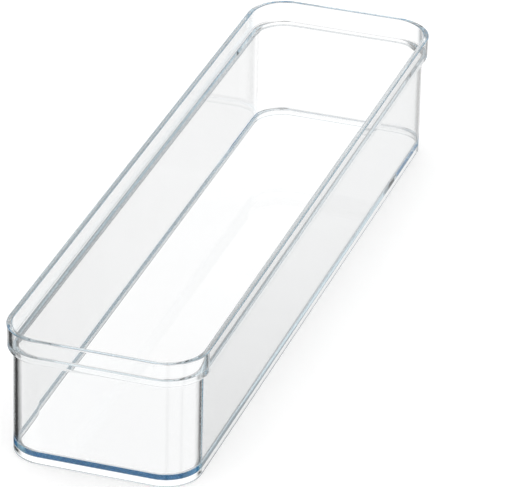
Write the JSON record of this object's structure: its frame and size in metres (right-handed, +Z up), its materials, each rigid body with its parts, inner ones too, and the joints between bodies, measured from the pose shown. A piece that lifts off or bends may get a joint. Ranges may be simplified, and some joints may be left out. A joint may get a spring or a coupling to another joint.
{
  "type": "drawer organizer bin",
  "caption": "Long narrow clear plastic drawer bin, open at the top, with rounded corners, a foot ring and a wider rim collar whose inner ledge seats another bin.",
  "frame": {"origin": "middle of the bin in plan, on the surface that its foot ring stands on", "axes": "+X across the width, +Y along the length, +Z up, out of the open mouth"},
  "size_m": [0.0762, 0.3048, 0.0518],
  "materials": {
    "clear_plastic": "clear, polished"
  },
  "bodies": {
    "root": {"bin_body": "clear_plastic"}
  },
  "joints": []
}
